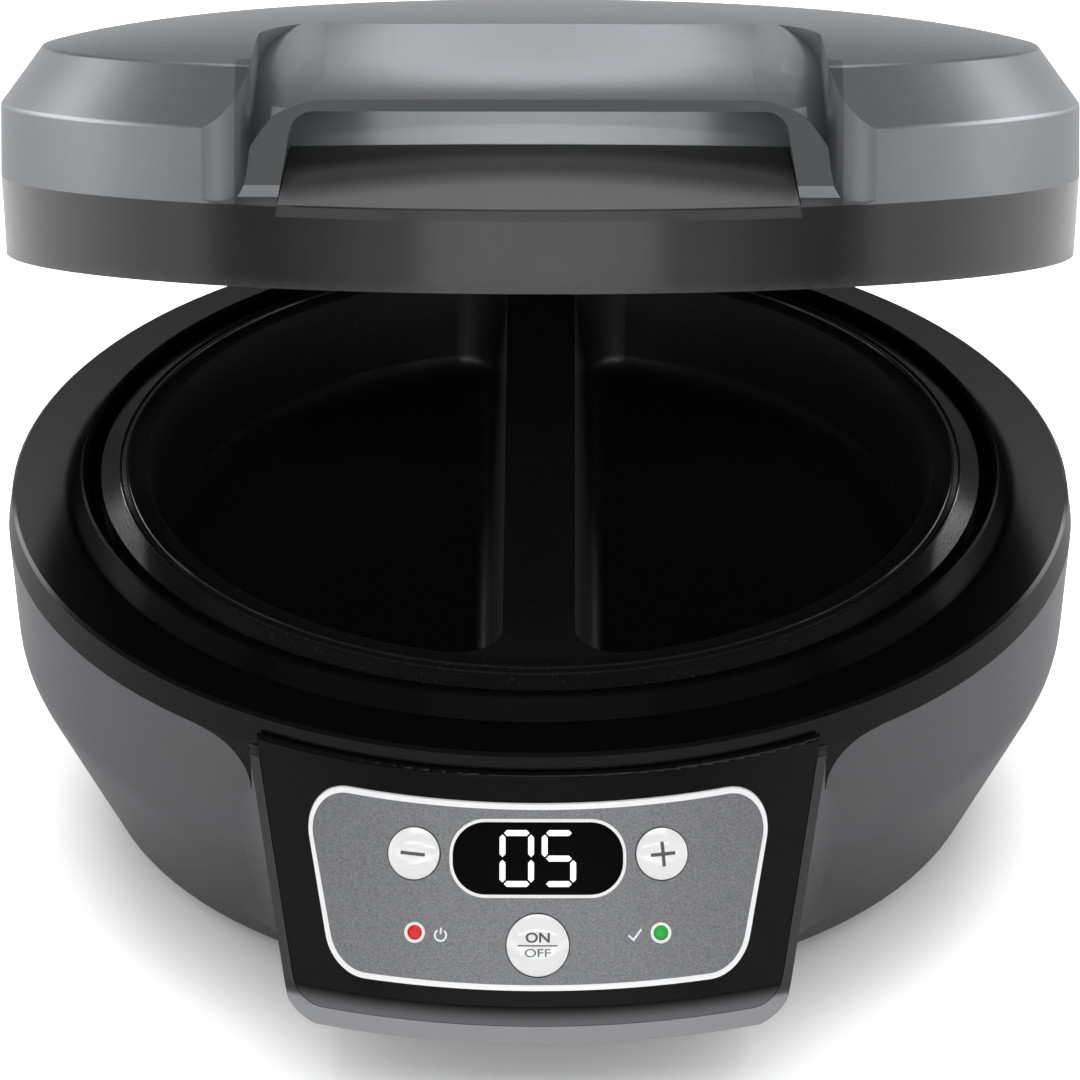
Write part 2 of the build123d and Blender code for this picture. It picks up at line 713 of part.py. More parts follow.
bezels = []
for name, plane in led_planes.items():
    fascia -= through_face(plane, Circle(led_bezel_radius + 0.05))
    housing -= through_face(plane, Circle(led_radius + 0.15))
    ring = plane.offset(-fascia_thickness + 0.35) * (Circle(led_bezel_radius) - Circle(led_radius + 0.05))
    bezels.append(extrude(ring, amount=fascia_thickness + 0.2))
    lens = plane * (Pos(0, 0, -14.4) * Cylinder(led_radius, 30))
    lens = fillet(lens.edges().sort_by(lambda e: (e.center() - plane.origin).dot(plane.z_dir))[-1:], 0.9)
    save(f"{name}_led", lens - behind_board)
save("led_bezels", *bezels)
save("fascia_plate", fascia)
save("fascia_trim", trim)
save("display_window", window)
save("display_rim", window_rim)
save("control_housing", housing)

# ---- display digits, display module, control board ----
segment_gap = 0.35
lit_segments = {"0": "abcdef", "5": "acdfg"}


def segment(name):
    """One bar of a seven-segment figure, with pointed ends, about the figure's centre."""
    half_h = (digit_height - digit_stroke) / 2
    half_w = (digit_width - digit_stroke) / 2
    spots = {
        "a": (0, half_h, 0), "g": (0, 0, 0), "d": (0, -half_h, 0),
        "b": (half_w, half_h / 2, 90), "c": (half_w, -half_h / 2, 90),
        "f": (-half_w, half_h / 2, 90), "e": (-half_w, -half_h / 2, 90),
    }
    x, y, turn = spots[name]
    reach = (half_w if turn == 0 else half_h / 2) - segment_gap
    half = digit_stroke / 2
    bar = Polyline([(-reach, 0), (half - reach, half), (reach - half, half),
                    (reach, 0), (reach - half, -half), (half - reach, -half)], close=True)
    return Pos(x, y) * Rot(0, 0, turn) * make_face(bar)


digits = []
for place, figure in ((-0.5, "0"), (0.5, "5")):
    for letter in lit_segments[figure]:
        bar = display_plane * (Pos(place * digit_pitch, 0) * segment(letter))
        digits.append(face_layer(0.35, 0.47) & extrude(bar, amount=3, both=True))
save("display_digits", *digits)

module_size = (display_width - 10, display_height - 5)
module = extrude(display_plane.offset(-1.6) * Rectangle(*module_size), amount=-30) - behind_board

save("display_module", module)
board = extrude(board_plane * Rectangle(board_width, board_height), amount=-board_wall)
for spot, post in posts:
    board -= extrude(spot * Circle(small_screw_hole), amount=20, both=True)
save("control_board", board)
save("board_screws", *board_screws)
chip_spots = ((-20, 4, 14, 14), (14, 8, 9, 12), (22, -12, 12, 6))
chip_height = 2.2
chips = []
for x, y, width, height in chip_spots:
    chips.append(extrude(board_plane * Pos(x, y, -board_wall) * Rectangle(width, height), amount=-chip_height))
save("control_chips", *chips)

# ---- power board on posts of the bottom cover ----
power_x, power_low_y, power_high_y = 50.0, 30.0, 86.0
power_z = 17.0
power_post_inset = 5.0
top_side = power_z + board_wall
power_board = block(-power_x, power_x, power_low_y, power_high_y, power_z, top_side)
power_screws = []
for x in (power_post_inset - power_x, power_x - power_post_inset):
    for y in (power_low_y + power_post_inset, power_high_y - power_post_inset):
        cover += rod(x, y, cover_height + cover_wall, power_z, post_radius)
        cover -= rod(x, y, power_z - 5, power_z, small_screw_radius)
        power_board -= rod(x, y, 0, 30, small_screw_hole)
        head = rod(x, y, top_side, top_side + small_head_height, small_head_radius)
        power_screws.append(head + rod(x, y, power_z - 4.5, top_side, small_screw_radius))
save("bottom_cover", cover)
save("power_board", power_board)
save("power_board_screws", *power_screws)
transformer_height, frame_height, relay_height, capacitor_height, terminal_height = 19.0, 12.0, 15.0, 14.0, 12.0
windings = block(-47, -21, 48, 68, top_side, top_side + transformer_height)
iron_frame = block(-49, -19, 46.5, 48, top_side, top_side + frame_height)
save("transformer", windings, iron_frame)
save("relay", block(-7.5, 11.5, 68, 83.5, top_side, top_side + relay_height))
save("capacitor", rod(30, 72, top_side, top_side + capacitor_height, 5))
terminal = block(14, 38, 39, 49, top_side, top_side + terminal_height)
lead_x, lead_z, lead_radius = (20.0, 32.0), 25.0, 1.4
for x in lead_x:
    terminal -= Pos(x, 46, lead_z) * Rot(90, 0, 0) * Cylinder(lead_radius + 0.1, 8)
save("terminal_block", terminal)
tab_low = reflector_floor - 23
leads = [
    pipe([(heater_leg_x, heater_half, tab_low), (heater_leg_x, heater_half, lead_z),
          (lead_x[0], heater_half, lead_z), (lead_x[0], 43, lead_z)], [2.8, 2.8], lead_radius),
    pipe([(-heater_leg_x, heater_half, tab_low), (-heater_leg_x, heater_half, lead_z - 1),
          (-heater_leg_x, heater_half + 7, lead_z - 1), (lead_x[1], heater_half + 7, lead_z),
          (lead_x[1], 43, lead_z)], [2.8, 2.8, 2.8], lead_radius),
]
save("heater_leads", *leads)

# ---- cord entry at the back ----
gland_y = side_circle(gland_height)[0] + side_circle(gland_height)[1]


def back_rod(y_low, y_high, radius, x=0.0, z=gland_height):
    """Cylinder along Y."""
    return Pos(x, (y_low + y_high) / 2, z) * Rot(90, 0, 0) * Cylinder(radius, y_high - y_low)


gland = back_rod(gland_y - 14, gland_y + 5, gland_radius)
gland += back_rod(gland_y - 6, gland_y + 4, gland_flange) - full_shell
gland += back_rod(gland_y - 9, gland_y + 2, gland_flange - 0.6) & hollow
gland -= back_rod(gland_y - 30, gland_y + 30, gland_bore)
save("cord_gland", gland)

# ---- hinge: bracket on the casing, and its pin ----
ear_low = knuckle_half + hinge_side_gap
ear_high = ear_low + ear_width
ear_radius = knuckle_radius + 1.0
bracket_low = 62.0
bracket_back = hinge_y + ear_radius
bracket_top = hinge_z - knuckle_radius - 0.8
side_view = Plane.YZ * make_face(Polyline([
    (115, bracket_low), (hinge_y - 2, bracket_low + 6), (bracket_back, bracket_low + 18),
    (bracket_back, bracket_top), (115, bracket_top)], close=True))
bracket = extrude(side_view, amount=ear_high, both=True)
for side in (-1, 1):
    low, high = sorted((side * ear_low, side * ear_high))
    bracket += block(low, high, hinge_y - ear_radius, bracket_back, bracket_top - 1, hinge_z)
    bracket += cross_rod(low, high, hinge_y, hinge_z, ear_radius)
bracket -= full_shell
bracket -= rod(0, 0, shell_top - 1, hinge_z + 20, body_radius + 0.1)
bracket -= cross_rod(-ear_high - 1, ear_high + 1, hinge_y, hinge_z, pin_radius)
bracket_screw_x, bracket_screw_z = 22.0, 74.0
bracket_screws = []
wall_y = sqrt((side_circle(bracket_screw_z)[1] - shell_wall)**2 - bracket_screw_x**2)
for side in (-1, 1):
    x = side * bracket_screw_x
    bracket -= back_rod(100, hinge_y - 3, screw_radius, x, bracket_screw_z)
    shell -= back_rod(100, 140, screw_hole, x, bracket_screw_z)
    head = back_rod(wall_y - screw_head_height - 0.6, wall_y - 0.6, screw_head_radius, x, bracket_screw_z)
    bracket_screws.append(head + back_rod(wall_y - 0.6, hinge_y - 6, screw_radius, x, bracket_screw_z))
save("hinge_bracket", bracket)
save("hinge_screws", *bracket_screws)
save("base_shell", shell)
pin_head = 1.6
pin = cross_rod(-ear_high, ear_high, hinge_y, hinge_z, pin_radius)
pin += cross_rod(ear_high, ear_high + pin_head, hinge_y, hinge_z, pin_radius + 1.6)
pin += cross_rod(-ear_high - pin_head, -ear_high, hinge_y, hinge_z, pin_radius + 1.6)
save("hinge_pin", pin)

# ---- housing screws under the chin ----
housing_screws = []
for side in (-1, 1):
    x = side * chin_screw_x
    head = rod(x, chin_screw_y, chin_floor - 1.6, chin_floor, screw_head_radius)
    housing_screws.append(head + rod(x, chin_screw_y, chin_floor, post_low + 8, screw_radius))
save("housing_screws", *housing_screws)


# ---- lid, drawn closed and then swung open ----
hinge_axis = Axis((0, hinge_y, hinge_z), (1, 0, 0))


def swung(shape):
    return shape.rotate(hinge_axis, -rest_angle)


def above(height):
    """Height above the lid's lower edge, in the closed position."""
    return lid_base + height


def lid_ring(points):
    return revolved([(r, above(h)) for r, h in points])


flange_low = plate_top + plate_meeting_gap - lid_base + plate_skin
flange_wall = 2.5
deck_wall = 2.4
deck_inner = 118.0
band_inner = lid_radius - band_wall
flange_inner = pan_radius + plate_wall + 3.0
floor_slope = (handle_floor_back - band_height) / (lid_radius + handle_back)
floor_gap = 0.3
band = lid_ring([
    (lid_radius - lid_draft, 0), (lid_radius, band_height), (deck_inner, band_height),
    (deck_inner, band_height - deck_wall), (band_inner, band_height - deck_wall),
    (band_inner, flange_low + flange_wall), (flange_inner, flange_low + flange_wall),
    (flange_inner, flange_low), (band_inner, flange_low), (band_inner - 0.8, 0),
])
floor_inner = -handle_back - 4
floor_low = band_height + (lid_radius - floor_inner) * floor_slope
handle_floor = lid_ring([
    (lid_radius, band_height), (floor_inner, floor_low),
    (floor_inner, floor_low - deck_wall), (lid_radius, band_height - deck_wall),
])
arm_low, arm_high = 1.0, 11.5
arm = block(-knuckle_half, knuckle_half, 115, hinge_y, above(arm_low), above(arm_high))
arm -= rod(0, 0, lid_base - 5, lid_base + 30, lid_radius - 1.6)
band += arm + cross_rod(-knuckle_half, knuckle_half, hinge_y, hinge_z, knuckle_radius)
band -= cross_rod(-knuckle_half - 1, knuckle_half + 1, hinge_y, hinge_z, pin_radius + running_gap)


# ---- lid shell: dome with a scoop, a lip to lift it by and a recess for the fingers ----
scoop_top = 90.0
scoop_front = -140.0
scoop_back = -38.0
scoop_side = 66.8           # half width between the scoop's side walls
wedge_round = 7.8           # rounded corner where the lid's wall turns into the scoop
wedge_rise = 0.15           # how far that corner's circle stands out of the wall, so that they cross
corner_start = -64.0        # where each side wall begins to round into the back
corner_bend = (61.5, -52.0)
corner_end = (50.0, -46.5)
arch_edge = 84.0            # how far the arch is drawn beyond the side walls
leg_foot = [(10.5, 0.0), (7.6, 1.4), (6.0, 4.0)]     # the legs before the lip, at heights over the band


def arch_section(y, bulge, grow, points):
    """Front view of the scoop's floor at a distance: an arch that falls away to each side."""
    lowered = [(x - grow * min(1, index), h - grow) for index, (x, h) in enumerate(points)]
    mirrored = [(-x, h) for x, h in reversed(lowered)]
    crown, foot = lowered[0], lowered[-1]
    lean = 2 * bulge / crown[0]
    outline = Curve() + [
        Spline(mirrored, tangents=[(1, 1), (1, lean)]),
        ThreePointArc(mirrored[-1], (0, crown[1] + bulge), crown),
        Spline(lowered, tangents=[(1, -lean), (1, -1)]),
        Line(foot, (arch_edge, foot[1])),
        Line((arch_edge, foot[1]), (arch_edge, scoop_top)),
        Line((arch_edge, scoop_top), (-arch_edge, scoop_top)),
        Line((-arch_edge, scoop_top), (-arch_edge, foot[1])),
        Line((-arch_edge, foot[1]), mirrored[0]),
    ]
    return Plane(origin=(0, y, lid_base), x_dir=(1, 0, 0), z_dir=(0, -1, 0)) * make_face(outline)


lip_arch = [(50, handle_lip_height), (57, 40.9), (61, 38.9), (64, 36.0), (67.5, 31.0), (72, 26.0)]
lower_arch = [(50, 45.8), (57, 44.6), (61, 43.0), (64, 41.0), (67.5, 38.0), (72, 35.0)]
upper_arch = [(50, 51.5), (57, 50.4), (61, 49.2), (64, 47.8), (67.5, 46.0), (72, 43.5)]
back_arch = [(50, 61.0), (57, 60.4), (61, 59.6), (64, 58.8), (67.5, 57.8), (72, 56.8)]


def scoop_plan(grow):
    """Plan of the scoop: straight sides, round back corners, and rounded wedges at the lid's wall."""
    half, turn = scoop_side + grow, wedge_round - grow
    reach = lid_radius - wedge_round + wedge_rise
    centre_x = scoop_side + wedge_round
    centre_y = -sqrt(reach**2 - centre_x**2)
    outward = atan2(centre_y, centre_x)
    tip = (centre_x + turn * cos(outward), centre_y + turn * sin(outward))
    middle = (outward - radians(180)) / 2
    bend = (centre_x + turn * cos(middle), centre_y + turn * sin(middle))
    out = (tip[0] * 1.2, tip[1] * 1.2)
    right = [
        Line((corner_end[0], corner_end[1] + grow), (corner_end[0], scoop_back)),
        ThreePointArc((half - 0.5, corner_start), (corner_bend[0] + grow * 0.7, corner_bend[1] + grow * 0.7),
                      (corner_end[0], corner_end[1] + grow)),
        Line((half, centre_y), (half - 0.5, corner_start)),
        ThreePointArc((half, centre_y), bend, tip),
        Line(tip, out),
        Line(out, (out[0], scoop_front)),
        Line((out[0], scoop_front), (0, scoop_front)),
        Line((0, scoop_back), (corner_end[0], scoop_back)),
    ]
    half_plan = make_face(Curve() + right + [Line((0, scoop_front), (0, scoop_back))])
    plan = Plane(origin=(0, 0, lid_base)) * (half_plan + mirror(half_plan, Plane.YZ))
    return extrude(plan, amount=scoop_top)


def scoop(grow):
    """What is cut away above the lip and in front of its legs."""
    first = arch_section(handle_lip_y, 0.2, grow, lip_arch)
    above_arch = loft([
        first,
        arch_section(handle_lip_y + 15, 1.0, grow, lower_arch),
        arch_section(handle_lip_y + 31, 5.0, grow, upper_arch),
        arch_section(scoop_back - 3, 6.5, grow, back_arch),
    ])
    above_arch += extrude(first, amount=handle_lip_y - scoop_front)
    legs = [(handle_lip_y - forward + grow, above(band_height + rise - (grow if rise == 0 else 0)))
            for forward, rise in leg_foot]
    side = Plane.YZ * make_face(Polyline([
        (scoop_front, legs[0][1]), *legs, (handle_lip_y + grow, above(handle_lip_height)),
        (handle_lip_y + grow, above(scoop_top)), (scoop_front, above(scoop_top))], close=True))
    before_legs = extrude(side, amount=arch_edge + 20, both=True)
    return (above_arch + before_legs) & scoop_plan(grow)


recess_centre = handle_back + recess_radius
recess_low = band_height - 3
recess_roof = handle_lip_height - handle_lip_wall


def finger_recess(grow, roof=recess_roof):
    """What is cut away under the lip, as far as the curved wall behind the fingers."""
    lean = handle_lean * (roof - recess_low) / (recess_roof - recess_low)
    shape = tapered(handle_half + grow, above(recess_low), handle_half + grow - lean, above(roof))
    shape = fillet(shape.vertices().group_by(Axis.Y)[-1], recess_corner)
    back_wall = rod(0, recess_centre, lid_base, above(scoop_top), recess_radius - grow)
    return front_prism(shape, near=-150, far=-50) - back_wall


band += handle_floor & finger_recess(-floor_gap)
crown_flat = 3.0
crown_shoulder = 87.0


def dome(inset):
    """Lid's outside, or its inside at a wall's depth."""
    crown_top = above(lid_top_height + lid_crown - inset)
    edge_r, edge_h = lid_top_radius - inset * 0.45, lid_top_height - inset
    low = band_height - (1 if inset else 0)
    wall_r = lid_radius - inset
    shoulder = above(lid_wall_height - inset * 0.4)
    outline = Curve() + [
        Line((0, 0, above(low)), (wall_r, 0, above(low))),
        Line((wall_r, 0, above(low)), (wall_r, 0, shoulder)),
        Line((wall_r, 0, shoulder), (edge_r, 0, above(edge_h))),
        Bezier((edge_r, 0, above(edge_h)), (crown_shoulder, 0, crown_top), (crown_flat, 0, crown_top)),
        Line((crown_flat, 0, crown_top), (0, 0, crown_top)),
        Line((0, 0, crown_top), (0, 0, above(low))),
    ]
    return revolve(make_face(outline), Axis.Z)


dome_body = dome(0)
rounded = dome_body.edges().filter_by(GeomType.CIRCLE).group_by(Axis.Z)
dome_body = fillet(rounded[1] + rounded[2], 1.6)
lid_outside = dome_body - scoop(0) - finger_recess(0)
solid_roof = 62.0           # the lip is solid, so the hollow stops short of all that is above the recess
lid_hollow = dome(shell_wall) - scoop(shell_wall) - finger_recess(shell_wall, solid_roof)
lid_shell = lid_outside - lid_hollow

lid_boss_circle = 124.4
lid_boss_angles = (50, 130, 205, 335)
lid_boss_height = 14.0
deck_low = above(band_height - deck_wall)
lid_screws = []
for angle in lid_boss_angles:
    x, y = at_angle(lid_boss_circle, angle)
    boss_top = above(band_height) + lid_boss_height
    boss = rod(x, y, above(band_height), boss_top, lid_radius - lid_boss_circle - 1.0)
    lid_shell += (boss & lid_outside) - rod(x, y, 0, boss_top - 2, screw_radius)
    band -= rod(x, y, deck_low - 1, above(band_height) + 1, screw_hole)
    head = rod(x, y, deck_low - screw_head_height, deck_low, screw_head_radius)
    lid_screws.append(swung(head + rod(x, y, deck_low, boss_top - 4, screw_radius)))

# ---- upper plate, its heater, reflector and fuse ----
upper_face = above(flange_low - plate_skin)
band_flange_top = above(flange_low + flange_wall)
upper_ceiling = upper_face + upper_pan_depth + plate_wall
upper_loop_z = upper_ceiling + heater_radius + heater_gap
upper_leg_end = upper_loop_z + 16.0
upper_reflector_low = upper_loop_z + heater_leg_corner + 0.8
upper_reflector_radius = 77.5
upper_boss_y = 66.0
plate_stud_circle, plate_stud_radius, plate_stud_gap = 108.0, 3.6, 0.4
plate_stud_angles = (20, 160, 200, 340)
upper_plate = rod(0, 0, upper_face, upper_face + plate_skin, upper_plate_radius)
upper_plate += pan_body(upper_face + 0.5, upper_pan_depth - 0.5, 1)
upper_plate -= pan_hollow(upper_face, upper_pan_depth, 1)
for side in (-1, 1):
    boss = rod(0, side * upper_boss_y, upper_face + 1, upper_reflector_low, plate_boss_radius)
    boss -= rod(0, side * upper_boss_y, upper_reflector_low - 10, upper_reflector_low, screw_radius)
    upper_plate += boss
clear_loop = heater_pipe(upper_loop_z, upper_leg_end, heater_radius + heater_gap)
for saddle in saddles(upper_ceiling, 1, clear_loop):
    upper_plate += saddle
plate_fixings = []
for angle in plate_stud_angles:
    x, y = at_angle(plate_stud_circle, angle)
    stud = rod(x, y, upper_face + 1, band_flange_top - 0.1, plate_stud_radius)
    upper_plate += stud
    upper_plate -= rod(x, y, upper_face + 1.2, band_flange_top, screw_radius)
    band -= rod(x, y, above(flange_low) - 1, band_flange_top + 1, plate_stud_radius + plate_stud_gap)
    head = rod(x, y, band_flange_top, band_flange_top + 1.8, plate_stud_radius + plate_stud_gap + 1.4)
    plate_fixings.append(swung(head + rod(x, y, upper_face + 1.8, band_flange_top, screw_radius)))
upper_heater = heater_pipe(upper_loop_z, upper_leg_end, heater_radius)
upper_reflector = revolved([
    (0, upper_reflector_low),
    (upper_reflector_radius, upper_reflector_low),
    (upper_reflector_radius, upper_reflector_low + 4),
    (upper_reflector_radius - reflector_wall, upper_reflector_low + 4),
    (upper_reflector_radius - reflector_wall, upper_reflector_low + reflector_wall),
    (0, upper_reflector_low + reflector_wall),
])
for side in (-1, 1):
    upper_reflector -= rod(side * heater_leg_x, heater_half, 0, 200, heater_radius + 1.0)
    upper_reflector -= rod(0, side * upper_boss_y, 0, 200, screw_hole)
reflector_top = upper_reflector_low + reflector_wall
reflector_fixings, upper_bushes, upper_tabs = [], [], []
for side in (-1, 1):
    y = side * upper_boss_y
    head = rod(0, y, reflector_top, reflector_top + screw_head_height, screw_head_radius)
    reflector_fixings.append(swung(head + rod(0, y, upper_reflector_low - 8, reflector_top, screw_radius)))
    x = side * heater_leg_x
    collar = rod(x, heater_half, reflector_top, reflector_top + 5, heater_radius + 2.4)
    sleeve = rod(x, heater_half, upper_reflector_low - 0.6, reflector_top, heater_radius + 0.9)
    upper_bushes.append(swung(collar + sleeve - rod(x, heater_half, 0, 200, heater_radius + 0.05)))
    tab = block(x - 3.15, x + 3.15, heater_half - 0.4, heater_half + 0.4, upper_leg_end, upper_leg_end + 8)
    upper_tabs.append(swung(tab))
upper_fuse_z = upper_ceiling + 3.0
upper_fuse = Pos(fuse_x, 0, upper_fuse_z) * Rot(90, 0, 0) * Cylinder(2.0, 12)
upper_fuse += Pos(fuse_x, 0, upper_fuse_z) * Rot(90, 0, 0) * Cylinder(0.5, 34)
upper_clip = block(fuse_x - 4, fuse_x + 4, -3, 3, upper_ceiling, upper_ceiling + 5.4)
upper_clip -= block(fuse_x - 2.1, fuse_x + 2.1, -4, 4, upper_ceiling + 0.9, upper_ceiling + 5.1)
save("upper_plate", swung(upper_plate))
save("upper_heating_element", swung(upper_heater))
save("upper_reflector", swung(upper_reflector))
save("upper_reflector_screws", *reflector_fixings)
save("upper_heater_bushes", *upper_bushes)
save("upper_heater_terminals", *upper_tabs)
save("upper_thermal_fuse", swung(upper_fuse))
save("upper_fuse_clip", swung(upper_clip))
save("upper_plate_screws", *plate_fixings)
save("lid_screws", *lid_screws)
save("lid_shell", swung(lid_shell))
save("lid_band", swung(band))
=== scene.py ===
from math import cos, radians, sin, sqrt

import bmesh
import bpy
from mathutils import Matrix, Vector
from mathutils.bvhtree import BVHTree


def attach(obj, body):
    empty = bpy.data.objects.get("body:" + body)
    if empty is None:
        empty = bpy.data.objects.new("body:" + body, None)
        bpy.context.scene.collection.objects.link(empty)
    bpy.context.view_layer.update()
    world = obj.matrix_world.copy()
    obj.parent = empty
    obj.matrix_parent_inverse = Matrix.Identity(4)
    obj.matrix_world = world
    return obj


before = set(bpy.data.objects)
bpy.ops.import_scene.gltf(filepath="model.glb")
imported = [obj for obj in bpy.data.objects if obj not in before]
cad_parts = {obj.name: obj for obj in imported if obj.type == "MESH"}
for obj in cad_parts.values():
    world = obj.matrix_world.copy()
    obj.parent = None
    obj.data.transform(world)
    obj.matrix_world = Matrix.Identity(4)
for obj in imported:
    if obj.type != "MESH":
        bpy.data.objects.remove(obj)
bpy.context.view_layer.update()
mm = 0.001


class Wire:
    """A shader socket that can be added to, taken from and multiplied like a number."""

    def __init__(self, shader, socket):
        self.shader = shader
        self.socket = socket

    def sum(self, operation, *others):
        values = dict(enumerate((self,) + others))
        return self.shader.node("ShaderNodeMath", {"operation": operation}, values)

    def __add__(self, other):
        return self.sum("ADD", other)

    def __mul__(self, other):
        return self.sum("MULTIPLY", other)

    def __sub__(self, other):
        return self.sum("SUBTRACT", other)

    __radd__ = __add__

    def size(self):
        return self.sum("ABSOLUTE")

    def power(self, exponent):
        return self.sum("POWER", exponent)

    def root(self):
        return self.sum("SQRT")

    def ramp(self, low, high):
        """0 below low, 1 above high, smooth between. Swapped limits turn it round."""
        values = {"Value": self, "From Min": low, "From Max": high}
        return self.shader.node("ShaderNodeMapRange", {"interpolation_type": "SMOOTHSTEP"}, values)


def radius(x, y):
    """Distance from the axis of two wires that run across it."""
    return (x.power(2.0) + y.power(2.0)).root()


class Finish:
    """One material: a Principled surface and the nodes that feed it."""

    def __init__(self, name, **surface):
        self.material = bpy.data.materials.new(name)
        self.material.use_nodes = True
        self.nodes = self.material.node_tree.nodes
        self.surface = self.nodes["Principled BSDF"]
        self.set(**surface)
        place = self.nodes.new("ShaderNodeTexCoord")
        self.place = Wire(self, place.outputs["Object"])
        parts = self.nodes.new("ShaderNodeSeparateXYZ")
        self.link(self.place, parts.inputs[0])
        self.x, self.y, self.z = (Wire(self, socket) for socket in parts.outputs)

    def link(self, value, socket):
        if isinstance(value, Wire):
            self.material.node_tree.links.new(value.socket, socket)
        elif isinstance(value, tuple) and len(value) == 3 and socket.type == "RGBA":
            socket.default_value = (*value, 1.0)
        else:
            socket.default_value = value

    def node(self, kind, settings, values, output=0):
        made = self.nodes.new(kind)
        for name, setting in settings.items():
            setattr(made, name, setting)
        for name, value in values.items():
            self.link(value, made.inputs[name])
        return Wire(self, made.outputs[output])

    def set(self, **values):
        """Sockets of the surface by name, with _ for a space."""
        for name, value in values.items():
            self.link(value, self.surface.inputs[name.replace("_", " ")])

    def noise(self, size):
        """Cloudy pattern from 0 to 1, its lumps about size across."""
        values = {"Vector": self.place, "Scale": 1 / size, "Detail": 2.0, "Roughness": 0.5}
        return self.node("ShaderNodeTexNoise", {}, values)

    def flakes(self, size):
        """Cells of random grey, each about size across."""
        values = {"Vector": self.place, "Scale": 1 / size}
        colour = self.node("ShaderNodeTexVoronoi", {}, values, "Color")
        return self.node("ShaderNodeSeparateColor", {}, {"Color": colour})

    def mix(self, share, first, second):
        """Colour that goes from first to second as share goes from 0 to 1."""
        values = {"Factor": share, 6: first, 7: second}
        return self.node("ShaderNodeMix", {"data_type": "RGBA"}, values, 2)

    def tint(self, colour, change):
        """The colour made lighter or darker by a pattern about 1."""
        values = {0: colour, "Scale": change}
        return self.node("ShaderNodeVectorMath", {"operation": "SCALE"}, values)

    def bump(self, height, depth):
        values = {"Height": height, "Distance": depth, "Strength": 1.0}
        self.set(Normal=self.node("ShaderNodeBump", {}, values))


def paint(finish, *nodes):
    """Gives CAD nodes their finish."""
    for name in nodes:
        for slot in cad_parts[name].material_slots:
            slot.material = finish.material


# Console face: part of a cone about the plate's axis. It leans back, and is placed by its top edge.
face_lean = radians(29.06)
face_top_radius, face_top_height = 132.9 * mm, 88.0 * mm


def grey_paint(name, colour):
    """Satin metallic paint with fine flakes. Its colour is kept for the piece's masks to change."""
    made = Finish(name, Metallic=0.6, Specular_IOR_Level=0.4, Specular_Tint=(0.6, 0.6, 0.62))
    flake = made.flakes(0.35 * mm)
    cloud = made.noise(18 * mm)
    made.colour = made.tint(colour, 0.93 + flake * 0.1 + cloud * 0.04)
    made.set(Roughness=0.31 + flake * 0.05 + made.noise(2 * mm) * 0.05)
    made.bump(made.noise(0.8 * mm), 0.004 * mm)
    return made


# Base casing: one moulding in satin grey metallic paint, which swells forward into the console.
# Its narrow front edge beside the console panel is dark, and its lip under the panel carries
# painted light.
# Each pair of limits is where a mask begins and where it is full.
console_front = -100 * mm, -110 * mm
edge_reach = 0.55 * mm, 0.25 * mm
casing_lip_front = -140 * mm, -146 * mm
casing_lip_height = 39 * mm, 37.5 * mm

casing_paint = grey_paint("casing paint", (0.116, 0.115, 0.119))
beyond_top = radius(casing_paint.x, casing_paint.y) - face_top_radius
outside_face = beyond_top * cos(face_lean) + (casing_paint.z - face_top_height) * sin(face_lean)
on_edge = outside_face.size().ramp(*edge_reach) * casing_paint.y.ramp(*console_front)
# Painted light: the casing's lip under the panel is made about three times lighter than the rest of
# the casing.
lip_painted_light = casing_paint.z.ramp(*casing_lip_height) * casing_paint.y.ramp(*casing_lip_front)
edged = casing_paint.mix(on_edge, casing_paint.colour, (0.055, 0.055, 0.057))
casing_paint.set(Base_Color=casing_paint.mix(lip_painted_light, edged, (0.36, 0.36, 0.37)))
paint(casing_paint, "base_shell")

# Rim ring round the cooking plate: a black moulding, polished on its flat, dull on its raised lip.
ring_flat = 116 * mm, 118 * mm

ring_gloss = Finish("ring gloss", Base_Color=(0.0025, 0.0025, 0.0027), Specular_IOR_Level=0.0)
on_flat = radius(ring_gloss.x, ring_gloss.y).ramp(*ring_flat)
ring_gloss.set(Coat_Weight=on_flat * 0.33 + 0.04, Coat_Roughness=0.2)
ring_gloss.set(Roughness=0.16 + ring_gloss.noise(9 * mm) * 0.05)
ring_gloss.bump(ring_gloss.noise(6 * mm), 0.01 * mm)
paint(ring_gloss, "top_ring")

# Bottom cover, hinge bracket and cord gland: black mouldings with a fine spark-eroded grain.
black_grain = Finish("black grain", Base_Color=(0.016, 0.016, 0.017))
black_grain.set(Roughness=0.42 + black_grain.noise(1.5 * mm) * 0.15)
black_grain.bump(black_grain.noise(0.5 * mm), 0.02 * mm)
paint(black_grain, "bottom_cover", "hinge_bracket", "cord_gland")

# Feet: soft black rubber plugs.
rubber = Finish("foot rubber", Base_Color=(0.018, 0.018, 0.018), Roughness=0.8)
rubber.bump(rubber.noise(0.7 * mm), 0.03 * mm)
paint(rubber, "feet")

# Cooking plates: cast aluminium under a black non-stick coat, faintly speckled, glossier at the rim
# than in the pans.
plate_rim = 96 * mm, 98 * mm

coating = Finish("non-stick coat")
speck = coating.flakes(0.5 * mm).ramp(0.93, 1.0)
coating.set(Base_Color=coating.mix(speck * 0.5, (0.007, 0.007, 0.0075), (0.03, 0.03, 0.031)))
on_rim = radius(coating.x, coating.y).ramp(*plate_rim)
coating.set(Roughness=0.28 + coating.noise(1.2 * mm) * 0.12 - on_rim * 0.20)
coating.bump(coating.noise(0.6 * mm), 0.012 * mm)
paint(coating, "lower_plate", "upper_plate")

# Console panel: satin black, with a painted reflection greying its lower bevel, and a faceplate of
# fine metallic grey inside a silver line.
lower_bevel = 41.2 * mm, 36.6 * mm

